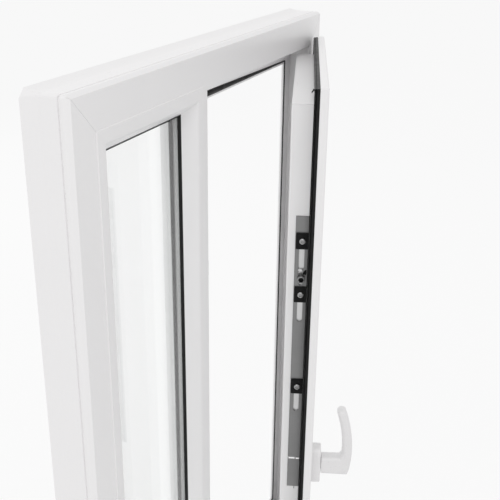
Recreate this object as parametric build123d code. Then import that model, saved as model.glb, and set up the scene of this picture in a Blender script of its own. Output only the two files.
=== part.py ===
from build123d import *
import os
from math import atan, degrees, radians, sqrt, tan

# Two-light plastic window: a fixed light on the left, and on the right a
# side-hung sash that stands open towards the room.
# X runs along the window, -Y faces the room, +Y faces outdoors, Z is up.
# The origin is on the underside of the sill, half way along it.
# In every section, y is the depth behind the room-side face of its own frame,
# and r is the distance from a named edge in towards the middle of the light.

# Outer frame, measured over its plain outer sides
frame_width = 840.0
frame_height = 1155.0
frame_depth = 59.0
frame_face = 56.2              # plain outer side to the edge of the light
face_inset = 3.4               # the room-side face starts this far in
rib_start = 3.5                # depth where the rounded rib begins
rib_depth = 11.6               # depth where it ends at the groove
rib_crown = 0.5
rib_fall = 1.2                 # the rib's front edge lies this far below its seat
groove_width = 2.7
groove_cut = 1.6
groove_draft = 0.6
plain_side_end = 38.0          # where the outer side starts to flare
flare = 3.5                    # how far the outdoor edge stands out
seat_depth = 29.0              # the origin lies this deep in the plain side

# Rebate shared by the frame, the mullion and the sash
rebate_depth = 40.0
rebate_draft = 2.5             # the rebate's side leans out by this much
upstand_reach = 31.0           # from the edge of the light to the outdoor lip's tip
upstand_nose = 3.5             # flat part of the lip's tip
outdoor_slope = 19.0           # degrees, from the lip's tip to the outdoor face
mullion_nose = 13.7            # flat part of the mullion's lips, which are thicker
mullion_lip_round = 1.0
edge_round = 2.5
lip_round = 1.2
nose_round = 1.5

# Welded and milled corners of the frame and the sash
weld_width = 1.6
weld_depth = 0.4
corner_cut = 2.4               # the milled corner takes this much off each side
cutting_spare = 1.0            # bars are longer than this before they are cut

# Lights
opening_width = 446.5          # sash light, between rebate edges
mullion_web = 22.0

# Sash
sash_overlap = 17.0            # the flange covers this much of the frame's face
flange_overhang = 28.0         # flange beyond the sash's body
flange_thick = 12.0
sash_depth = 50.0
sash_face = 70.0               # flange tip to the edge of the sash's glazing rebate
flange_round = 3.0
flange_back_round = 1.0
closed_gap = 4.5               # squeezed gasket between the flange and the frame
sash_angle = 18.4              # degrees open, as it stands
pivot_out = 16.0               # hinge axis beyond the flange's edge

# Glazing beads, with a lip that laps over the face beside the light
bead_lip = 9.0
bead_proud = 1.5
bead_lip_bevel = 0.6
bead_fall = 0.6                # the flat falls this much over its width
bead_flat_end = 7.5           # r where the flat ends and the shoulder starts
bead_belly = 0.2               # how far the shoulder bulges
bead_shoulder = 11.0           # r at the foot of the shoulder
bead_shoulder_y = 0.8
bead_nose = 25.0               # r of the bead's tip
bead_bulge = 0.5               # how far the slope down to the tip bulges
bead_nose_y = 18.8
bead_foot_y = 20.0
bead_foot_back = 1.5
fit_gap = 0.2

# Double glazing
pane_front = 22.6              # room-side surface of the inner pane
pane_thick = 4.0
pane_space = 8.0
pane_edge = 6.0                # clearance from the rebate's edge to the glass
spacer_width = 16.0
glazing_nose = 29.2            # r of the room-side glazing gasket's tip
glazing_seal_seat = 9.0        # how far the glazing gaskets reach under the beads
glazing_seal_bulge = 0.8
spacer_back = 1.0              # the spacer starts this far in from the glass's edge

# Gasket on the upstand round the open light
stop_seal_width = 10.0
stop_seal_rise = 1.8
stop_seal_back = 4.0           # from the lip's tip to the gasket

# Gasket on the hidden side of the sash's flange
flange_seal_start = 1.5
flange_seal_end = 11.0
flange_seal_rise = 8.0
flange_seal_notch = 0.9

# Handle
handle_height = 450.8          # axis above the sash's lower end
handle_inset = 45.0            # axis from the flange's tip
rosette_height = 69.5
rosette_width = 30.0
rosette_thick = 15.0
rosette_corner = 14.0
rosette_edge = 2.0
collar_rise = 1.2
collar_diameter = 18.0
neck_half = 15.8
lever_width = 22.0
lever_reach = 65.0             # from the sash's face to the lever's outermost point
lever_thick = 16.0
lever_tip_thick = 13.0
lever_tip = 106.0              # above the axis
lever_lean = 14.0              # the tip lies this far behind the outermost point
lever_edge = 6.0

# Locking strip let into the lock stile
roller_height = 789.8          # above the sash's lower end
strip_width = 20.0
strip_thick = 2.5
strip_proud = 1.0
strip_middle = 28.5            # depth of the strip's centre line in the sash
strip_above_roller = 97.0
strip_below_handle = 36.0
joint_above_handle = 20.0
joint_gap = 3.0
trough_width = 12.0
trough_depth = 12.0
trough_short = 5.0             # the trough ends this far inside the strip
rod_width = 11.4
rod_thick = 3.0
rod_short = 15.0               # the rod ends this far inside the strip
pad_steps = (-184.5, -26.5, 59.0)  # pad middles from the roller
pad_length = 25.0
pad_width = 18.4
pad_thick = 2.5
pad_round = 1.5
slot_width = 8.0
slot_below = 33.5              # the slot shows this far below its pad
screw_head = 9.2
screw_rise = 1.6
screw_socket = 4.4
screw_socket_depth = 1.3
roller_slot = 24.0
roller_diameter = 11.0
roller_rise = 8.0
roller_lift = 1.0              # gap between the strip and the roller
roller_pin = 6.0
socket_across = 7.0
socket_depth = 4.0

# Hinges
hinge_length = 90.0
hinge_inset = 110.0            # hinge middle from the sash's ends
knuckle_diameter = 14.0
hinge_pin = 7.0
leaf_thick = 3.0
frame_leaf_width = 22.0
sash_leaf_width = 34.0
knuckle_gap = 0.3
riser_thick = 7.0
pin_play = 0.1
pin_cap = 2.0

# Keep on the mullion
keep_length = 60.0
keep_width = 18.0
keep_thick = 2.0
keep_depth = 11.8              # depth of its middle in the mullion's rebate
nib_length = 24.0
nib_rise = 3.4
nib_thick = 3.5

# Places that follow from the sizes above
front = -seat_depth
left_light = (-frame_width / 2 + frame_face, frame_width / 2 - frame_face - opening_width - mullion_web)
right_light = (frame_width / 2 - frame_face - opening_width, frame_width / 2 - frame_face)
light_heights = (frame_face, frame_height - frame_face)
mullion_middle = (left_light[1] + right_light[0]) / 2
sash_x = (right_light[0] - sash_overlap, right_light[1] + sash_overlap)
sash_z = (light_heights[0] - sash_overlap, light_heights[1] + sash_overlap)
sash_front = front - closed_gap - flange_thick
pivot = (sash_x[1] + pivot_out, sash_front)
swing = Pos(pivot[0], pivot[1], 0) * Rot(0, 0, sash_angle) * Pos(-pivot[0], -pivot[1], 0)
strip_bottom = handle_height - strip_below_handle
strip_joint = handle_height + joint_above_handle
strip_top = roller_height + strip_above_roller


def outline(*points):
    """Closed straight-sided outline from (y, r) points."""
    return make_face(Polyline(*points, close=True))


def round_corner(sketch, point, radius):
    """Round the corner of a sketch that lies nearest to a point."""
    corner = sketch.vertices().sort_by_distance((point[0], point[1], 0))[0]
    return fillet(corner, radius)


def mitred_bar(section, length, corner=0.0):
    """Bar along X with its outer edge at z = 0, mitred ends and milled corners."""
    box = section.bounding_box()
    low = box.min.Y - cutting_spare
    high = box.max.Y + cutting_spare
    depth = max(-box.min.X, box.max.X) + cutting_spare
    half = length / 2
    ends = outline((low - half, low), (half - low, low), (half - high, high), (high - half, high))
    if corner:
        off = corner / 2 - high / sqrt(8)
        for side in (-1, 1):
            ends -= Pos(side * (half - off), off) * Rot(0, 0, 45) * Rectangle(high, high)
    bar = extrude(Plane.YZ * section, amount=half - low, both=True)
    return bar & extrude(Plane.XZ * ends, amount=depth, both=True)


def welded_bar(section, length):
    """Mitred bar with half of a cleaned weld groove round each end."""
    core = offset(section, amount=-weld_depth, kind=Kind.INTERSECTION)
    return mitred_bar(core, length, corner_cut) + mitred_bar(section, length - weld_width, corner_cut)


def around(section, xs, y, zs, make_bar=mitred_bar):
    """Four mitred bars of one section round a rectangle, by side."""
    width = xs[1] - xs[0]
    height = zs[1] - zs[0]
    middle_x = (xs[0] + xs[1]) / 2
    middle_z = (zs[0] + zs[1]) / 2
    across = make_bar(section, width)
    upright = make_bar(section, height)
    return {
        "bottom": Pos(middle_x, y, zs[0]) * across,
        "top": Pos(middle_x, y, zs[1]) * Rot(0, 180, 0) * across,
        "left": Pos(xs[0], y, middle_z) * Rot(0, 90, 0) * upright,
        "right": Pos(xs[1], y, middle_z) * Rot(0, -90, 0) * upright,
    }


def ring(section, xs, y, zs):
    """One endless piece, such as a gasket, round a rectangle."""
    sides = around(section, xs, y, zs)
    return sides["bottom"] + sides["left"] + sides["top"] + sides["right"]


def frame_section():
    """Frame section: y is depth, r runs in from the plain outer side."""
    tip = frame_face + upstand_reach
    nose = rebate_depth + upstand_nose
    slope_start = tip - (frame_depth - nose) / tan(radians(outdoor_slope))
    groove_end = rib_depth + groove_width
    rib_front = (rib_start, rib_fall)
    rib_back = (rib_depth, 0)
    path = Polyline(
        rib_front,
        (0, face_inset),
        (0, frame_face),
        (rebate_depth, frame_face - rebate_draft),
        (rebate_depth, tip),
        (nose, tip),
        (frame_depth, slope_start),
        (frame_depth, -flare),
    )
    outer_edge = ThreePointArc(
        (frame_depth, -flare),
        ((frame_depth + plain_side_end) / 2, -flare / 3),
        (plain_side_end, 0),
    )
    groove = Polyline(
        (plain_side_end, 0),
        (groove_end, 0),
        (groove_end - groove_draft, groove_cut),
        (rib_depth + groove_draft, groove_cut),
        rib_back,
    )
    rib = ThreePointArc(rib_back, ((rib_start + rib_depth) / 2, -rib_crown), rib_front)
    sketch = make_face(path + outer_edge + groove + rib)
    sketch = round_corner(sketch, (0, frame_face), edge_round)
    sketch = round_corner(sketch, (rebate_depth, tip), lip_round)
    return round_corner(sketch, (nose, tip), nose_round)


def mullion_section():
    """Mullion section on the XY plane: a narrow web on a wide outdoor flange."""
    half = mullion_web / 2
    tip = half + upstand_reach
    nose = rebate_depth + mullion_nose
    sketch = outline(
        (-half, 0),
        (half, 0),
        (half - rebate_draft, rebate_depth),
        (tip, rebate_depth),
        (tip, nose),
        (half, frame_depth),
        (-half, frame_depth),
        (-tip, nose),
        (-tip, rebate_depth),
        (-half + rebate_draft, rebate_depth),
    )
    for side in (-1, 1):
        sketch = round_corner(sketch, (side * half, 0), edge_round)
        sketch = round_corner(sketch, (side * tip, rebate_depth), mullion_lip_round)
        sketch = round_corner(sketch, (side * tip, nose), nose_round)
    return sketch


def sash_section():
    """Sash section: r runs in from the flange's tip."""
    tip = sash_face + upstand_reach
    nose = rebate_depth + upstand_nose
    slope_start = tip - (sash_depth - nose) / tan(radians(outdoor_slope))
    sketch = outline(
        (0, 0),
        (flange_thick, 0),
        (flange_thick, flange_overhang),
        (sash_depth, flange_overhang),
        (sash_depth, slope_start),
        (nose, tip),
        (rebate_depth, tip),
        (rebate_depth, sash_face - rebate_draft),
        (0, sash_face),
    )
    sketch = round_corner(sketch, (0, 0), flange_round)
    sketch = round_corner(sketch, (flange_thick, 0), flange_back_round)
    sketch = round_corner(sketch, (sash_depth, flange_overhang), nose_round)
    sketch = round_corner(sketch, (0, sash_face), edge_round)
    sketch = round_corner(sketch, (rebate_depth, tip), lip_round)
    return round_corner(sketch, (nose, tip), nose_round)


def bead_section():
    """Glazing bead section: r runs in from the edge of the light."""
    flat_end = (bead_fall - bead_proud, bead_flat_end)
    foot = (bead_shoulder_y, bead_shoulder)
    face = Polyline(
        (bead_foot_y, fit_gap),
        (0, fit_gap),
        (0, -bead_lip),
        (bead_lip_bevel - bead_proud, -bead_lip),
        (-bead_proud, bead_lip_bevel - bead_lip),
        flat_end,
    )
    middle = ((flat_end[0] + foot[0]) / 2 - bead_belly, (flat_end[1] + foot[1]) / 2 + bead_belly)
    shoulder = ThreePointArc(flat_end, middle, foot)
    nose = (bead_nose_y, bead_nose)
    bulge = ((foot[0] + nose[0]) / 2 - bead_bulge, (foot[1] + nose[1]) / 2 + bead_bulge)
    slope = ThreePointArc(foot, bulge, nose)
    back = Polyline(nose, (bead_foot_y, bead_nose - bead_foot_back), (bead_foot_y, fit_gap))
    return make_face(face + shoulder + slope + back)


def room_gasket_section():
    """Gasket between a bead and the inner pane."""
    back = bead_nose - glazing_seal_seat
    return outline(
        (bead_foot_y, back),
        (bead_foot_y, bead_nose - bead_foot_back),
        (bead_nose_y, bead_nose),
        (bead_nose_y + glazing_seal_bulge, bead_nose + glazing_seal_bulge),
        (pane_front, glazing_nose),
        (pane_front, back),
    )


def outdoor_gasket_section():
    """Gasket between the outer pane and the upstand."""
    pane_back = pane_front + 2 * pane_thick + pane_space
    back = upstand_reach - glazing_seal_seat
    return outline(
        (pane_back, back),
        (pane_back, upstand_reach),
        ((pane_back + rebate_depth) / 2, upstand_reach + glazing_seal_bulge),
        (rebate_depth, upstand_reach),
        (rebate_depth, back),
    )


def spacer_section():
    """Spacer bar and seal between the two panes."""
    start = pane_front + pane_thick
    edge = pane_edge + spacer_back
    tip = pane_edge + spacer_width
    return outline((start, edge), (start, tip), (start + pane_space, tip), (start + pane_space, edge))


def opening_gasket_section():
    """Gasket on the upstand round the opening light, with its lip towards the light."""
    tip = upstand_reach - stop_seal_back
    crest = rebate_depth - stop_seal_rise
    return outline(
        (rebate_depth, tip - stop_seal_width),
        (rebate_depth, tip),
        (rebate_depth - stop_seal_rise * 0.4, tip + glazing_seal_bulge),
        (crest, tip - stop_seal_width * 0.3),
        (crest, tip - stop_seal_width * 0.5),
        (rebate_depth - stop_seal_rise * 0.3, tip - stop_seal_width * 0.92),
    )


def overlap_gasket_section():
    """Gasket on the hidden side of the sash's flange, notched along its outer side."""
    crest = flange_thick + flange_seal_rise
    middle = flange_thick + flange_seal_rise / 2
    return outline(
        (flange_thick, flange_seal_start),
        (flange_thick, flange_seal_end),
        (middle, flange_seal_end),
        (crest, flange_seal_end * 0.65),
        (crest, flange_seal_start * 2),
        (middle + 2 * flange_seal_notch, flange_seal_start),
        (middle + flange_seal_notch, flange_seal_start + flange_seal_notch),
        (middle, flange_seal_start),
    )


def pane(xs, y, zs):
    """One sheet of glass within the rebate's edges."""
    width = xs[1] - xs[0] - 2 * pane_edge
    height = zs[1] - zs[0] - 2 * pane_edge
    middle = ((xs[0] + xs[1]) / 2, y + pane_thick / 2, (zs[0] + zs[1]) / 2)
    return Pos(*middle) * Box(width, pane_thick, height)


def glazing(name, xs, y, zs):
    """Beads, gaskets, panes and spacer of one light, by node name."""
    pieces = {}
    for side, bead in around(bead_section(), xs, y, zs).items():
        pieces[f"{name}_bead_{side}"] = bead
    pieces[f"{name}_room_gasket"] = ring(room_gasket_section(), xs, y, zs)
    pieces[f"{name}_outdoor_gasket"] = ring(outdoor_gasket_section(), xs, y, zs)
    pieces[f"{name}_inner_pane"] = pane(xs, y + pane_front, zs)
    pieces[f"{name}_outer_pane"] = pane(xs, y + pane_front + pane_thick + pane_space, zs)
    pieces[f"{name}_spacer"] = ring(spacer_section(), xs, y, zs)
    return pieces


def outer_frame():
    """Head, sill, two jambs, mullion and the gasket of the opening light."""
    width = (-frame_width / 2, frame_width / 2)
    sides = around(frame_section(), width, front, (0, frame_height), welded_bar)
    bar = extrude(mullion_section(), amount=frame_height - frame_face)
    bar = Pos(mullion_middle, front, frame_face / 2) * bar
    return {
        "frame_head": sides["top"],
        "frame_sill": sides["bottom"],
        "frame_left_jamb": sides["left"],
        "frame_right_jamb": sides["right"],
        "mullion": bar - sides["top"] - sides["bottom"],
        "opening_gasket": ring(opening_gasket_section(), right_light, front, light_heights),
    }


def lock_face(width, length, thick):
    """Plate in the lock edge: x is its thickness out of the edge, y its width."""
    return Box(thick, width, length)


def on_lock_edge(piece, out, height):
    """Place a piece on the sash's lock edge; out is measured off that edge."""
    edge = sash_x[0] + flange_overhang
    return Pos(edge - out, sash_front + strip_middle, sash_z[0] + height) * piece


def lock_pocket():
    """Recess in the lock stile: a seat for the strip over a trough for the rod."""
    length = strip_top - strip_bottom
    height = (strip_top + strip_bottom) / 2
    seat = strip_thick - strip_proud
    step = lock_face(strip_width + 2 * fit_gap, length + 2 * fit_gap, seat)
    trough = lock_face(trough_width, length - 2 * trough_short, trough_depth)
    return on_lock_edge(step, -seat / 2, height) + on_lock_edge(trough, -trough_depth / 2, height)


def strip_slot(height, length):
    """Round-ended slot through the strip."""
    slot = Plane.YZ * Rot(0, 0, 90) * SlotOverall(length, slot_width)
    return on_lock_edge(extrude(slot, amount=strip_thick, both=True), 0, height)


def lock_strip():
    """Face strip in two lengths, with a slot under each pad and one for the roller."""
    pieces = {}
    out = strip_proud - strip_thick / 2
    for name, low, high in (
        ("lock_strip_upper", strip_joint + joint_gap / 2, strip_top),
        ("lock_strip_lower", strip_bottom, strip_joint - joint_gap / 2),
    ):
        plate = lock_face(strip_width, high - low, strip_thick)
        pieces[name] = on_lock_edge(plate, out, (low + high) / 2)
    for step in pad_steps:
        height = roller_height + step
        low = height - pad_length / 2 - slot_below
        pieces["lock_strip_upper"] -= strip_slot((low + height) / 2, height - low)
    pieces["lock_strip_upper"] -= strip_slot(roller_height, roller_slot)
    return pieces


def screw():
    """Screw head with a hexagon socket, its axis along x."""
    socket = RegularPolygon(screw_socket / 2, 6, major_radius=False)
    socket = extrude(Pos(0, 0, screw_rise / 2) * socket, amount=screw_socket_depth, both=True)
    return Rot(0, -90, 0) * (Cylinder(screw_head / 2, screw_rise) - socket)


def lock_works():
    """Drive rod, pads with their screws, and the roller that locks into the keep."""
    pieces = {}
    rod_out = strip_proud - strip_thick - rod_thick / 2
    rod_low = strip_bottom + rod_short
    rod_high = strip_top - rod_short
    rod = lock_face(rod_width, rod_high - rod_low, rod_thick)
    pieces["lock_rod"] = on_lock_edge(rod, rod_out, (rod_low + rod_high) / 2)
    pads = []
    screws = []
    for step in pad_steps:
        height = roller_height + step
        pad = lock_face(pad_width, pad_length, pad_thick)
        pad = fillet(pad.edges().filter_by(Axis.X), pad_round)
        pads.append(on_lock_edge(pad, strip_proud + pad_thick / 2, height))
        screws.append(on_lock_edge(screw(), strip_proud + pad_thick + screw_rise / 2, height))
    pieces["lock_pads"] = Compound(children=pads)
    pieces["lock_pad_screws"] = Compound(children=screws)
    rod_face = strip_proud - strip_thick
    pin_length = roller_rise + strip_proud - rod_face
    pin = Rot(0, -90, 0) * Cylinder(roller_pin / 2, pin_length)
    roller_length = roller_rise - roller_lift
    roller = Rot(0, -90, 0) * Cylinder(roller_diameter / 2, roller_length)
    socket = Plane.YZ * RegularPolygon(socket_across / 2, 6, major_radius=False)
    socket = extrude(socket, amount=socket_depth, both=True)
    pieces["lock_roller"] = (
        on_lock_edge(pin, rod_face + pin_length / 2, roller_height)
        + on_lock_edge(roller, strip_proud + roller_lift + roller_length / 2, roller_height)
        - on_lock_edge(socket, strip_proud + roller_rise, roller_height)
    )
    return pieces


def handle_place(piece):
    """Place a piece modelled with its back on y = 0 and its axis at the origin."""
    return Pos(sash_x[0] + handle_inset, sash_front, sash_z[0] + handle_height) * piece


def lever_outline():
    """Side view of the lever: first number out of the sash's face, second up."""
    neck_start = rosette_thick + collar_rise
    inner = lever_reach - lever_thick
    foot = (lever_reach * 0.95, -neck_half * 0.55)
    heel = (lever_reach * 0.915, -neck_half)
    shoulder = (lever_reach - lever_lean, lever_tip * 0.98)
    tip_back = (lever_reach - lever_lean - lever_tip_thick, lever_tip * 0.95)
    elbow = (inner, neck_half * 1.45)
    neck_top = (inner * 0.93, neck_half * 1.04)
    neck = Polyline(elbow, neck_top, (neck_start, neck_half), (neck_start, -neck_half), heel, foot)
    outer_arc = ThreePointArc(foot, (lever_reach, lever_tip * 0.36), shoulder)
    tip_arc = ThreePointArc(shoulder, (lever_reach - lever_lean - lever_tip_thick / 2, lever_tip), tip_back)
    inner_arc = ThreePointArc(tip_back, (inner * 0.95, lever_tip * 0.6), elbow)
    return make_face(neck + outer_arc + tip_arc + inner_arc)


def handle():
    """Rosette and the curved lever, which points straight up."""
    rosette = Pos(0, -rosette_thick / 2, 0) * Box(rosette_width, rosette_thick, rosette_height)
    rosette = fillet(rosette.edges().filter_by(Axis.Y), rosette_corner)
    rosette = fillet(rosette.faces().sort_by(Axis.Y)[0].edges(), rosette_edge)
    side = Plane.YZ * Rot(0, 180, 0) * lever_outline()
    lever = extrude(side, amount=lever_width / 2, both=True)
    flanks = lever.faces().sort_by(Axis.X)
    rims = flanks[0].edges() + flanks[-1].edges()
    back = -rosette_thick - collar_rise
    lever = fillet(rims.filter_by(lambda edge: edge.center().Y < back - lever_edge), lever_edge)
    collar = Rot(90, 0, 0) * Cylinder(collar_diameter / 2, collar_rise)
    lever += Pos(0, back + collar_rise / 2, 0) * collar
    return {
        "handle_rosette": handle_place(rosette),
        "handle_lever": handle_place(lever),
    }


def knuckle(low, high):
    """Length of hinge barrel on the axis at the origin."""
    return Pos(0, 0, (low + high) / 2) * Cylinder(knuckle_diameter / 2, high - low)


def hinge_parts():
    """Frame leaf, sash leaf and pin, about the hinge axis, sash closed."""
    third = hinge_length / 3
    half = hinge_length / 2
    off_frame = front - pivot[1]
    frame_leaf = Pos(0, off_frame - leaf_thick / 2, 0) * Box(frame_leaf_width, leaf_thick, hinge_length)
    for low, high in ((-half, -third / 2 - knuckle_gap), (third / 2 + knuckle_gap, half)):
        riser = Box(riser_thick, off_frame - leaf_thick / 2, high - low)
        frame_leaf += Pos(0, (off_frame - leaf_thick / 2) / 2, (low + high) / 2) * riser
        frame_leaf += knuckle(low, high)
    sash_leaf = knuckle(-third / 2, third / 2)
    leaf_end = -pivot_out - sash_leaf_width
    sash_leaf += Pos(leaf_end / 2, -leaf_thick / 2, 0) * Box(-leaf_end, leaf_thick, third)
    bore = Cylinder(hinge_pin / 2, hinge_length)
    pin = Cylinder(hinge_pin / 2 - pin_play, hinge_length)
    cap = Cylinder(knuckle_diameter / 2, pin_cap)
    pin += Pos(0, 0, half + pin_cap / 2) * cap
    return frame_leaf - bore, sash_leaf - bore, pin


def hinges():
    """Upper and lower hinge; the leaves on the sash turn with it."""
    fixed = {}
    turning = {}
    heights = {"upper": sash_z[1] - hinge_inset, "lower": sash_z[0] + hinge_inset}
    for name, height in heights.items():
        frame_leaf, sash_leaf, pin = hinge_parts()
        place = Pos(pivot[0], pivot[1], height)
        fixed[f"{name}_hinge_frame_leaf"] = place * frame_leaf
        fixed[f"{name}_hinge_pin"] = place * pin
        turning[f"{name}_hinge_sash_leaf"] = place * sash_leaf
    return fixed, turning


def lock_keep():
    """Plate on the mullion's rebate, with a nib on its room side that holds the roller."""
    plate = Pos(keep_thick / 2, 0, 0) * Box(keep_thick, keep_width, keep_length)
    nib = Box(nib_rise, nib_thick, nib_length)
    nib = Pos(keep_thick + nib_rise / 2, (nib_thick - keep_width) / 2, 0) * nib
    lean = rebate_draft / rebate_depth
    side = right_light[0] - lean * keep_depth
    turned = Rot(0, 0, degrees(atan(lean))) * (plate + nib)
    return Pos(side, front + keep_depth, sash_z[0] + roller_height) * turned


def sash():
    """Every piece that swings with the sash, modelled closed."""
    rails = around(sash_section(), sash_x, sash_front, sash_z, welded_bar)
    rebate_x = (sash_x[0] + sash_face, sash_x[1] - sash_face)
    rebate_z = (sash_z[0] + sash_face, sash_z[1] - sash_face)
    pieces = {
        "sash_top_rail": rails["top"],
        "sash_bottom_rail": rails["bottom"],
        "sash_lock_stile": rails["left"] - lock_pocket(),
        "sash_hinge_stile": rails["right"],
        "sash_overlap_gasket": ring(overlap_gasket_section(), sash_x, sash_front, sash_z),
    }
    pieces.update(glazing("sash", rebate_x, sash_front, rebate_z))
    pieces.update(lock_strip())
    pieces.update(lock_works())
    pieces.update(handle())
    return pieces


def build():
    """All nodes of the window as it stands, sash open."""
    nodes = outer_frame()
    nodes.update(glazing("fixed", left_light, front, light_heights))
    nodes["mullion_keep"] = lock_keep()
    fixed, turning = hinges()
    nodes.update(fixed)
    turning.update(sash())
    for name, piece in turning.items():
        nodes[name] = swing * piece
    return nodes


os.makedirs("parts", exist_ok=True)
for node_name, solid in build().items():
    export_step(solid, f"parts/{node_name}.step")
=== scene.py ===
from math import cos, pi, radians, sin

import bpy
from mathutils import Matrix, Vector


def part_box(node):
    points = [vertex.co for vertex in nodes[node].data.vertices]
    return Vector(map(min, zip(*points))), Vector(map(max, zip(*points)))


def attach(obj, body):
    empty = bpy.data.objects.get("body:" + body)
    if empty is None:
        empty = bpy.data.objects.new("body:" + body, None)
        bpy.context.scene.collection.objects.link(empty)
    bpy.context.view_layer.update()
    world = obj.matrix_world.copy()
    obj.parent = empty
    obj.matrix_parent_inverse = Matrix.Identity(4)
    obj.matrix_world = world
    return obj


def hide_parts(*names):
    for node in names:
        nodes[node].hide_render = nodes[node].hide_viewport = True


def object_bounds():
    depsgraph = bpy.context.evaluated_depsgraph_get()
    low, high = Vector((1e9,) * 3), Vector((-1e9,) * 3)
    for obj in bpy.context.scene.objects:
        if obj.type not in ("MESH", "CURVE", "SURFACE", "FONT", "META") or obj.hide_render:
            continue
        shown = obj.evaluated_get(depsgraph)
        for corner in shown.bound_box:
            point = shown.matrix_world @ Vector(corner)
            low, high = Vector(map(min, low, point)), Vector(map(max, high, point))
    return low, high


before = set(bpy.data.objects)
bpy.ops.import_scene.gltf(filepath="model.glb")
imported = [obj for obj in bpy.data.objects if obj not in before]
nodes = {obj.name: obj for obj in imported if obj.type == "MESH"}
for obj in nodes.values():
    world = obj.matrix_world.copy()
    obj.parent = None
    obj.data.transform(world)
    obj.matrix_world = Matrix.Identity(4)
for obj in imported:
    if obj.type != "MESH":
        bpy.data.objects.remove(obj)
cad_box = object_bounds()

# The sash stands open by this angle about an upright axis.
SASH_ANGLE = radians(18.4)
SASH_TURN = Matrix.Rotation(SASH_ANGLE, 3, "Z")


class Nodes:
    """A material's node tree, with short calls for the nodes used here."""

    def __init__(self, name):
        self.material = bpy.data.materials.new(name)
        self.material.use_nodes = True
        self.tree = self.material.node_tree
        self.shader = self.tree.nodes["Principled BSDF"]
        self.output = self.tree.nodes["Material Output"]
        self.place = self.add("ShaderNodeTexCoord").outputs["Object"]

    def add(self, kind, **settings):
        node = self.tree.nodes.new(kind)
        for key, value in settings.items():
            setattr(node, key, value)
        return node

    def link(self, source, target):
        self.tree.links.new(source, target)

    def set(self, **values):
        for key, value in values.items():
            self.shader.inputs[key.replace("_", " ")].default_value = value

    def mapped(self, scale, turn=0.0):
        """Object coordinates turned about Z, then stretched."""
        turned = self.add("ShaderNodeMapping", vector_type="POINT")
        turned.inputs["Rotation"].default_value = (0, 0, turn)
        self.link(self.place, turned.inputs["Vector"])
        stretched = self.add("ShaderNodeMapping", vector_type="POINT")
        stretched.inputs["Scale"].default_value = scale
        self.link(turned.outputs["Vector"], stretched.inputs["Vector"])
        return stretched.outputs["Vector"]

    def noise(self, vector, scale, detail=3.0, roughness=0.5):
        node = self.add("ShaderNodeTexNoise")
        node.inputs["Scale"].default_value = scale
        node.inputs["Detail"].default_value = detail
        node.inputs["Roughness"].default_value = roughness
        self.link(vector, node.inputs["Vector"])
        return node.outputs["Fac"]

    def ramp(self, value, stops):
        node = self.add("ShaderNodeValToRGB")
        elements = node.color_ramp.elements
        while len(elements) < len(stops):
            elements.new(0.5)
        for element, (position, colour) in zip(elements, stops):
            element.position = position
            element.color = (*colour, 1.0)
        self.link(value, node.inputs["Fac"])
        return node.outputs["Color"]

    def spread(self, value, low, high):
        """Take a 0 to 1 value to the range low to high."""
        node = self.add("ShaderNodeMapRange")
        node.inputs["From Min"].default_value = 0.25
        node.inputs["From Max"].default_value = 0.75
        node.inputs["To Min"].default_value = low
        node.inputs["To Max"].default_value = high
        self.link(value, node.inputs["Value"])
        return node.outputs["Result"]

    def bump(self, height, strength, distance, onto=None):
        node = self.add("ShaderNodeBump")
        node.inputs["Strength"].default_value = strength
        node.inputs["Distance"].default_value = distance
        self.link(height, node.inputs["Height"])
        if onto is not None:
            self.link(onto, node.inputs["Normal"])
        return node.outputs["Normal"]


def grey(level):
    return (level, level, level)


def any_ray(tree, *kinds):
    """1 for a ray of any of these kinds, and else 0."""
    path = tree.nodes.new("ShaderNodeLightPath")
    result = path.outputs[f"Is {kinds[0]} Ray"]
    for kind in kinds[1:]:
        larger = tree.nodes.new("ShaderNodeMath")
        larger.operation = "MAXIMUM"
        tree.links.new(result, larger.inputs[0])
        tree.links.new(path.outputs[f"Is {kind} Ray"], larger.inputs[1])
        result = larger.outputs["Value"]
    return result


def mix_shaders(tree, share, first, second, target):
    """Send the first shader to the target, and the second for its share."""
    mix = tree.nodes.new("ShaderNodeMixShader")
    tree.links.new(share, mix.inputs["Fac"])
    tree.links.new(first, mix.inputs[1])
    tree.links.new(second, mix.inputs[2])
    tree.links.new(mix.outputs["Shader"], target)


def window_plastic(name, along, turn=0.0):
    """White extruded plastic: faint die lines along the bar and a fine satin skin."""
    m = Nodes(name)
    m.set(IOR=1.5, Specular_IOR_Level=0.45)
    stretch = {"X": (1.5, 90.0, 90.0), "Z": (90.0, 90.0, 1.5)}[along]
    lines = m.noise(m.mapped(stretch, turn), 9.0, 4.0, 0.6)
    cloud = m.noise(m.place, 7.0, 2.0)
    skin = m.noise(m.place, 900.0, 2.0)
    mixed = m.add("ShaderNodeMix", data_type="FLOAT")
    mixed.inputs["Factor"].default_value = 0.35
    m.link(cloud, mixed.inputs["A"])
    m.link(lines, mixed.inputs["B"])
    stops = ((0.3, (0.877, 0.868, 0.872)), (0.7, (0.896, 0.886, 0.890)))
    m.link(m.ramp(mixed.outputs["Result"], stops), m.shader.inputs["Base Color"])
    m.link(m.spread(lines, 0.27, 0.36), m.shader.inputs["Roughness"])
    fine = m.bump(skin, 0.12, 0.00008)
    m.link(m.bump(lines, 0.10, 0.00012, fine), m.shader.inputs["Normal"])
    return m.material


def rubber(name):
    """Black gasket rubber with a dull bloom and faint ribs of its own extrusion."""
    m = Nodes(name)
    m.set(IOR=1.5, Specular_IOR_Level=0.22)
    bloom = m.noise(m.place, 45.0, 4.0, 0.6)
    grain = m.noise(m.place, 1400.0, 2.0)
    m.link(m.ramp(bloom, ((0.3, grey(0.004)), (0.7, grey(0.009)))), m.shader.inputs["Base Color"])
    m.link(m.spread(bloom, 0.36, 0.50), m.shader.inputs["Roughness"])
    m.link(m.bump(grain, 0.25, 0.0001), m.shader.inputs["Normal"])
    return m.material


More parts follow.
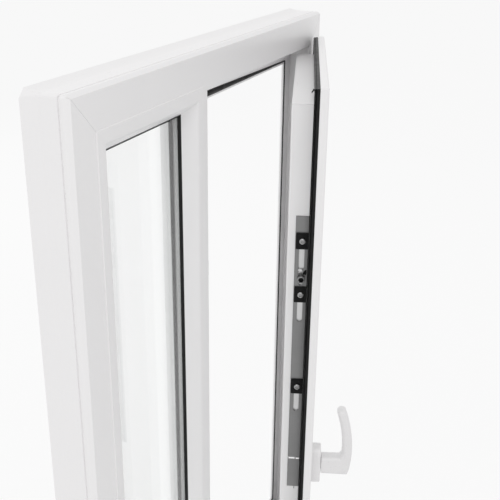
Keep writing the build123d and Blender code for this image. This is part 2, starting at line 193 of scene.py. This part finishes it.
def brushed(name, dark, light, rough, along="Z", turn=0.0, scratch=0.2):
    """Metal with brush lines along one direction and a few broad stains."""
    m = Nodes(name)
    m.set(Metallic=1.0)
    stretch = {"X": (6.0, 260.0, 260.0), "Z": (260.0, 260.0, 6.0)}[along]
    lines = m.noise(m.mapped(stretch, turn), 6.0, 5.0, 0.65)
    stain = m.noise(m.place, 22.0, 3.0)
    mixed = m.add("ShaderNodeMix", data_type="FLOAT")
    mixed.inputs["Factor"].default_value = 0.45
    m.link(lines, mixed.inputs["A"])
    m.link(stain, mixed.inputs["B"])
    tone = m.ramp(mixed.outputs["Result"], ((0.32, grey(dark)), (0.68, grey(light))))
    m.link(tone, m.shader.inputs["Base Color"])
    m.link(m.spread(lines, rough - 0.06, rough + 0.08), m.shader.inputs["Roughness"])
    m.link(m.bump(lines, scratch, 0.0001), m.shader.inputs["Normal"])
    return m.material


def moulded_black_and_painted_shade():
    """Black nylon of the sliding pads, finely spark-eroded; also used as painted shade in the screw
    and roller sockets and in the roller's slot.
    """
    m = Nodes("moulded_black_and_painted_shade")
    m.set(IOR=1.5, Specular_IOR_Level=0.18)
    grain = m.noise(m.place, 1100.0, 3.0, 0.6)
    cloud = m.noise(m.place, 120.0, 2.0)
    m.link(m.ramp(cloud, ((0.3, grey(0.0025)), (0.7, grey(0.0055)))), m.shader.inputs["Base Color"])
    m.link(m.spread(grain, 0.42, 0.58), m.shader.inputs["Roughness"])
    m.link(m.bump(grain, 0.3, 0.0001), m.shader.inputs["Normal"])
    return m.material


def white_coat(name):
    """White powder coat with its slight orange peel, on the handle and hinges."""
    m = Nodes(name)
    m.set(IOR=1.5, Specular_IOR_Level=0.5)
    peel = m.noise(m.place, 420.0, 2.0)
    cloud = m.noise(m.place, 30.0, 2.0)
    stops = ((0.3, (0.812, 0.804, 0.807)), (0.7, (0.832, 0.823, 0.827)))
    m.link(m.ramp(cloud, stops), m.shader.inputs["Base Color"])
    m.link(m.spread(peel, 0.26, 0.32), m.shader.inputs["Roughness"])
    m.link(m.bump(peel, 0.05, 0.0001), m.shader.inputs["Normal"])
    return m.material


def spacer_bar(turn, name):
    """Matt spacer bar with a grid of fine breathing holes."""
    m = Nodes(name)
    m.set(Metallic=0.1, Roughness=0.5)
    holes = m.add("ShaderNodeTexVoronoi", feature="F1")
    holes.inputs["Scale"].default_value = 420.0
    holes.inputs["Randomness"].default_value = 0.0
    m.link(m.mapped((1.0, 1.0, 1.0), turn), holes.inputs["Vector"])
    tone = m.ramp(holes.outputs["Distance"], ((0.10, grey(0.55)), (0.22, grey(0.80))))
    m.link(tone, m.shader.inputs["Base Color"])
    return m.material


def clear_glass():
    """Clear float glass that lets lamp light through, faintly green in depth."""
    m = Nodes("clear_glass")
    m.set(Transmission_Weight=1.0, IOR=1.45, Roughness=0.0)
    wave = m.noise(m.place, 5.0, 2.0)
    stops = ((0.3, (0.996, 1.0, 0.998)), (0.7, (0.998, 1.0, 1.0)))
    m.link(m.ramp(wave, stops), m.shader.inputs["Base Color"])
    clear = m.add("ShaderNodeBsdfTransparent")
    clear.inputs["Color"].default_value = (0.97, 0.98, 0.977, 1.0)
    lit_through = any_ray(m.tree, "Shadow", "Diffuse")
    surface = m.output.inputs["Surface"]
    mix_shaders(m.tree, lit_through, m.shader.outputs["BSDF"], clear.outputs["BSDF"], surface)
    return m.material


upright_plastic = window_plastic("frame_plastic_upright", "Z")
level_plastic = window_plastic("frame_plastic_level", "X")
sash_upright_plastic = window_plastic("sash_plastic_upright", "Z", -SASH_ANGLE)
sash_level_plastic = window_plastic("sash_plastic_level", "X", -SASH_ANGLE)
gasket_rubber = rubber("gasket_rubber")
# Black nylon of the pads, also used as painted shade in sockets and the roller's slot.
pad_nylon_and_painted_shade = moulded_black_and_painted_shade()
strip_steel = brushed("strip_steel", 0.228, 0.280, 0.42, turn=-SASH_ANGLE)
zinc_steel = brushed("zinc_steel", 0.58, 0.72, 0.34, turn=-SASH_ANGLE)
bright_steel = brushed("bright_steel", 0.36, 0.48, 0.28, turn=-SASH_ANGLE)
# Darker steel of the roller, also used as painted shade on the floors of the screw sockets.
roller_steel_and_socket_shade = brushed("roller_steel_and_socket_shade", 0.24, 0.32, 0.35, turn=-SASH_ANGLE)
link_steel = brushed("link_steel", 0.88, 0.94, 0.24, turn=-SASH_ANGLE, scratch=0.05)
handle_coat = white_coat("handle_coat")
hinge_coat = white_coat("hinge_coat")
fixed_spacer = spacer_bar(0.0, "fixed_spacer_metal")
sash_spacer = spacer_bar(-SASH_ANGLE, "sash_spacer_metal")
glass = clear_glass()


def finish_of(name):
    """The material of a CAD node."""
    if name.endswith("gasket"):
        return gasket_rubber
    if name.endswith("pane"):
        return glass
    if name.endswith("spacer"):
        return sash_spacer if name.startswith("sash") else fixed_spacer
    if name == "lock_pads":
        return pad_nylon_and_painted_shade
    if name.startswith("lock_strip"):
        return strip_steel
    if name in ("lock_rod", "mullion_keep"):
        return zinc_steel
    if name == "lock_roller":
        return roller_steel_and_socket_shade
    if name == "lock_pad_screws" or name.endswith("hinge_pin"):
        return bright_steel
    if name.startswith("handle"):
        return handle_coat
    if "hinge_" in name and not name.startswith("sash"):
        return hinge_coat
    level = any(word in name for word in ("head", "sill", "rail", "bottom", "top"))
    if name.startswith("sash"):
        return sash_level_plastic if level else sash_upright_plastic
    return level_plastic if level else upright_plastic


for name, node in nodes.items():
    node.data.materials.clear()
    node.data.materials.append(finish_of(name))


# Lock gear in millimetres, from the roller's axis and the lock edge's face.
ROLLER_MIDDLE_OUT = 3.75
STRIP_FACE = 1.0
PAD_FACE = 3.5
PAD_STEPS = (-184.5, -26.5, 59.0)
SASH_TOP_ABOVE_ROLLER = 286.8
FLANGE_TIP_OUT = 28.0
MM = 0.001
SHARP_EDGE = radians(35)


def lock_edge():
    """Frame level with the roller: x towards the room, y up, z out of the lock edge."""
    low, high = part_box("lock_roller")
    middle = (Vector(low) + Vector(high)) / 2
    out = SASH_TURN @ Vector((-1, 0, 0))
    room = SASH_TURN @ Vector((0, -1, 0))
    turn = Matrix((room, Vector((0, 0, 1)), out)).transposed().to_4x4()
    return Matrix.Translation(middle - out * ROLLER_MIDDLE_OUT * MM) @ turn


LOCK_EDGE = lock_edge()


def on_lock_edge(across, height, out):
    """Place on the lock edge, in millimetres from the roller's axis and the edge's face."""
    return LOCK_EDGE @ Matrix.Translation(Vector((across, height, out)) * MM)


def piece(name, place, points, faces, finishes, marks):
    """Mesh piece from local points in millimetres, smooth but for its sharp edges."""
    mesh = bpy.data.meshes.new(name)
    mesh.from_pydata([place @ (Vector(point) * MM) for point in points], [], faces)
    for finish in finishes:
        mesh.materials.append(finish)
    mesh.polygons.foreach_set("material_index", marks)
    mesh.polygons.foreach_set("use_smooth", [True] * len(faces))
    mesh.set_sharp_from_angle(angle=SHARP_EDGE)
    mesh.update()
    thing = bpy.data.objects.new(name, mesh)
    bpy.context.scene.collection.objects.link(thing)
    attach(thing, "root")
    return thing


def band(low, high, count):
    """Faces between two rings of points, given by each ring's first point."""
    steps = [(step, (step + 1) % count) for step in range(count)]
    return [(low + step, low + after, high + after, high + step) for step, after in steps]


def turned(name, place, profile, finishes, slot, segments=48):
    """Piece turned about z; a profile point is (radius, height, finish, number of flats)."""
    points = []
    for radius, height, _, flats in profile:
        for step in range(segments):
            angle = 2 * pi * step / segments
            reach = radius / cos(angle % (2 * pi / flats) - pi / flats) if flats else radius
            points.append((reach * cos(angle), reach * sin(angle), height))
    faces = [tuple(reversed(range(segments)))]
    marks = [profile[0][2]]
    for ring in range(len(profile) - 1):
        faces += band(ring * segments, (ring + 1) * segments, segments)
        marks += [profile[ring][2]] * segments
    last = (len(profile) - 1) * segments
    faces.append(tuple(range(last, last + segments)))
    marks.append(profile[-1][2])
    return piece(name, place, points, faces, finishes, marks)


def plate(name, outline, low, high, bevel, finish):
    """Plate on the lock edge with a bevelled rim; its outline runs anticlockwise from outside."""
    count = len(outline)
    middle = (sum(x for x, _ in outline) / count, sum(y for _, y in outline) / count)
    points = [(x, y, low) for x, y in outline] + [(x, y, high - bevel) for x, y in outline]
    for x, y in outline:
        inward = Vector((middle[0] - x, middle[1] - y)).normalized() * bevel
        points.append((x + inward.x, y + inward.y, high))
    faces = [tuple(reversed(range(count))), tuple(range(2 * count, 3 * count))]
    faces += band(0, count, count) + band(count, 2 * count, count)
    return piece(name, on_lock_edge(0, 0, 0), points, faces, [finish], [0] * len(faces))


def box_outline(left, right, low, high):
    return [(left, low), (right, low), (right, high), (left, high)]


def pad_screws():
    """Domed screw heads with a hexagon socket, one on each pad; the socket's walls are painted black
    and its floor darker steel, as painted shade in the socket.
    """
    head = (
        (4.55, 0.0, 0, 0), (4.6, 0.55, 0, 0), (4.35, 1.05, 0, 0), (3.8, 1.4, 0, 0),
        (3.1, 1.56, 0, 0), (2.35, 1.56, 1, 6), (2.2, 1.4, 1, 6), (2.1, 0.7, 2, 6), (0.7, 0.65, 2, 0),
    )
    # Socket walls take the black nylon and the socket floor the darker steel: painted shade inside
    # the socket.
    finishes = [bright_steel, pad_nylon_and_painted_shade, roller_steel_and_socket_shade]
    for number, step in enumerate(PAD_STEPS, start=1):
        place = on_lock_edge(0, step, PAD_FACE)
        screw = turned(f"pad_screw_{number}", place, head, finishes, "bright_steel")
        if number == 1:
            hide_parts("lock_pad_screws")


def roller():
    """Locking roller on its pin, with a deep hexagon socket for setting it; the socket's walls and
    floor are painted black, as painted shade in the socket.
    """
    shape = (
        (3.0, -1.5, 0, 0), (3.0, 2.0, 0, 0), (5.2, 2.0, 0, 0), (5.5, 2.35, 0, 0),
        (5.5, 8.3, 0, 0), (5.3, 8.75, 0, 0), (4.9, 8.98, 0, 0), (3.75, 8.98, 1, 6),
        (3.5, 8.7, 1, 6), (3.5, 5.0, 1, 6), (0.8, 4.8, 1, 0),
    )
    # The socket's faces take the black nylon: painted shade in the socket.
    finishes = [roller_steel_and_socket_shade, pad_nylon_and_painted_shade]
    wheel = turned("locking_roller", on_lock_edge(0, 0, 0), shape, finishes, "bright_steel")
    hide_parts("lock_roller")


def roller_stop():
    """Bright stop in the slot above the roller, a black plate beside it as painted shade of the
    slot's open hole, and a small rivet below it.
    """
    face = STRIP_FACE
    stop = [(-4.6, 11.2), (0.6, 10.4), (1.6, 12.2), (0.2, 14.2), (-3.8, 14.6), (-5.2, 13.2)]
    plate("roller_stop", stop, face - 2.0, face + 0.5, 0.35, zinc_steel)
    # Black plate put where the slot's hole lies in shade: painted shade.
    slot_shade = [(2.6, 6.2), (6.9, 5.4), (7.9, 8.6), (7.6, 13.4), (5.4, 12.6), (3.0, 9.6)]
    plate("roller_slot_shade", slot_shade, face, face + 0.7, 0.3, pad_nylon_and_painted_shade)
    rivet = ((1.1, 0.0, 0, 0), (1.1, 0.3, 0, 0), (0.7, 0.55, 0, 0), (0.2, 0.6, 0, 0))
    place = on_lock_edge(2.4, -7.4, face)
    turned("roller_rivet", place, rivet, [bright_steel], "bright_steel", segments=24)


def strip_joint():
    """Bright links in the gap between the strip's two lengths, and its lower end's tongue."""
    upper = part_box("lock_strip_upper")[0][2]
    lower_low, lower_high = (corner[2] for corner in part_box("lock_strip_lower"))
    level = LOCK_EDGE.translation.z
    joint = ((upper + lower_high) / 2 - level) / MM
    half = (upper - lower_high) / MM / 2
    links = (("joint_link_outdoor", -9.4, 1.0, 0.0), ("joint_link_room", 2.0, 9.4, 0.5))
    for name, left, right, drop in links:
        link = box_outline(left, right, joint - half - drop, joint + half - drop)
        plate(name, link, STRIP_FACE - 2.3, STRIP_FACE + 0.35, 0.5, link_steel)
    tail = (lower_low - level) / MM
    tongue = box_outline(0.5, 1.5, tail - 5.0, tail - 0.2)
    plate("strip_tongue", tongue, 0.0, 0.5, 0.2, strip_steel)


def gasket_tab():
    """Loose tab where the flange gasket's ends meet at the sash's upper corner."""
    top = SASH_TOP_ABOVE_ROLLER
    low = FLANGE_TIP_OUT - 5.0
    high = FLANGE_TIP_OUT - 2.2
    tab = [
        (6.0, top - 1.8), (6.4, top - 3.0), (4.6, top - 5.2),
        (4.2, top - 7.6), (5.6, top - 6.4), (9.6, top - 2.2),
    ]
    plate("gasket_tab", tab, low, high, 0.5, gasket_rubber)


def opening_seal():
    """Gasket round the open light, slimmer at the hinges than by the mullion, as photographed."""
    full = 10.0
    slim = 2.4
    lip = (
        (1.0, 0.0), (0.93, 0.3), (0.75, 0.72), (0.52, 1.0),
        (0.32, 1.0), (0.12, 0.8), (-0.05, 0.4), (0.0, 0.0),
    )
    low, high = (Vector(corner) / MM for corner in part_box("opening_gasket"))
    left, front, bottom = low
    right, back, top = high
    corners = (
        (left + full, bottom + full, -1, -1, full), (right - full, bottom + full, 1, -1, slim),
        (right - full, top - full, 1, 1, slim), (left + full, top - full, -1, 1, full),
    )
    points = []
    for x, z, way_x, way_z, width in corners:
        for across, rise in lip:
            reach = across * width
            points.append((x + way_x * reach, back + (front - back) * rise, z + way_z * reach))
    count = len(lip)
    faces = []
    for corner in range(4):
        here = corner * count
        there = (corner + 1) % 4 * count
        for step in range(count):
            following = (step + 1) % count
            faces.append((here + step, there + step, there + following, here + following))
    marks = [0] * len(faces)
    unmoved = Matrix.Identity(4)
    seal = piece("opening_seal", unmoved, points, faces, [gasket_rubber], marks)
    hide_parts("opening_gasket")


pad_screws()
roller()
roller_stop()
strip_joint()
gasket_tab()
opening_seal()


FLOOR_HALF = 30.0
GLOW_SHARE = 0.88


def floor_material():
    """Pale paper, near white to the camera, in mirrors and through glass, with a soft shadow."""
    m = Nodes("floor_paper")
    m.set(Roughness=0.9, Specular_IOR_Level=0.0)
    cloud = m.noise(m.place, 2.0, 2.0)
    m.link(m.ramp(cloud, ((0.3, grey(0.885)), (0.7, grey(0.895)))), m.shader.inputs["Base Color"])
    glow = m.add("ShaderNodeEmission")
    glow.inputs["Color"].default_value = (0.97, 0.97, 0.97, 1.0)
    share = m.add("ShaderNodeMath", operation="MULTIPLY")
    share.inputs[1].default_value = GLOW_SHARE
    m.link(any_ray(m.tree, "Camera", "Transmission", "Glossy"), share.inputs[0])
    surface = m.output.inputs["Surface"]
    paper = m.shader.outputs["BSDF"]
    mix_shaders(m.tree, share.outputs["Value"], paper, glow.outputs["Emission"], surface)
    return m.material


def studio_floor():
    """Large flat floor under the window."""
    mesh = bpy.data.meshes.new("studio_floor")
    level = cad_box[0][2]
    corners = ((-1, -1), (1, -1), (1, 1), (-1, 1))
    points = [(x * FLOOR_HALF, y * FLOOR_HALF, level) for x, y in corners]
    mesh.from_pydata(points, [], [(0, 1, 2, 3)])
    mesh.materials.append(floor_material())
    floor = bpy.data.objects.new("studio_floor", mesh)
    bpy.context.scene.collection.objects.link(floor)


def studio_world():
    """Even white studio; the backdrop that the camera sees is near white."""
    world = bpy.data.worlds.new("studio")
    bpy.context.scene.world = world
    world.use_nodes = True
    tree = world.node_tree
    lit = tree.nodes["Background"]
    lit.inputs["Color"].default_value = (1.0, 1.0, 1.0, 1.0)
    lit.inputs["Strength"].default_value = 0.79
    seen = tree.nodes.new("ShaderNodeBackground")
    seen.inputs["Color"].default_value = (0.94, 0.94, 0.94, 1.0)
    share = any_ray(tree, "Camera", "Glossy", "Transmission")
    surface = tree.nodes["World Output"].inputs["Surface"]
    mix_shaders(tree, share, lit.outputs["Background"], seen.outputs["Background"], surface)


def soft_lamp(name, place, aim, size, power):
    """Square area lamp turned to a point."""
    lamp = bpy.data.lights.new(name, "AREA")
    lamp.size = size
    lamp.energy = power
    holder = bpy.data.objects.new(name, lamp)
    holder.location = place
    holder.rotation_euler = (Vector(aim) - Vector(place)).to_track_quat("-Z", "Y").to_euler()
    bpy.context.scene.collection.objects.link(holder)


studio_floor()
studio_world()
soft_lamp("key_lamp", (-3.0, -0.85, 3.3), (0.0, 0.0, 0.6), 1.8, 23.0)
soft_lamp("back_lamp", (1.2, 3.4, 2.2), (0.2, 0.0, 0.6), 2.6, 34.0)

camera_data = bpy.data.cameras.new("photo_camera")
camera_data.sensor_width = 36.0
camera_data.lens = 60.72
camera_data.clip_start = 0.05
camera = bpy.data.objects.new("photo_camera", camera_data)
camera.location = (-1.14206, -0.52245, 1.33819)
camera.rotation_euler = (radians(67.75621), radians(-0.69951), radians(-67.74815))
bpy.context.scene.collection.objects.link(camera)
bpy.context.scene.camera = camera
bpy.context.scene.view_settings.view_transform = "Standard"

bpy.context.view_layer.update()
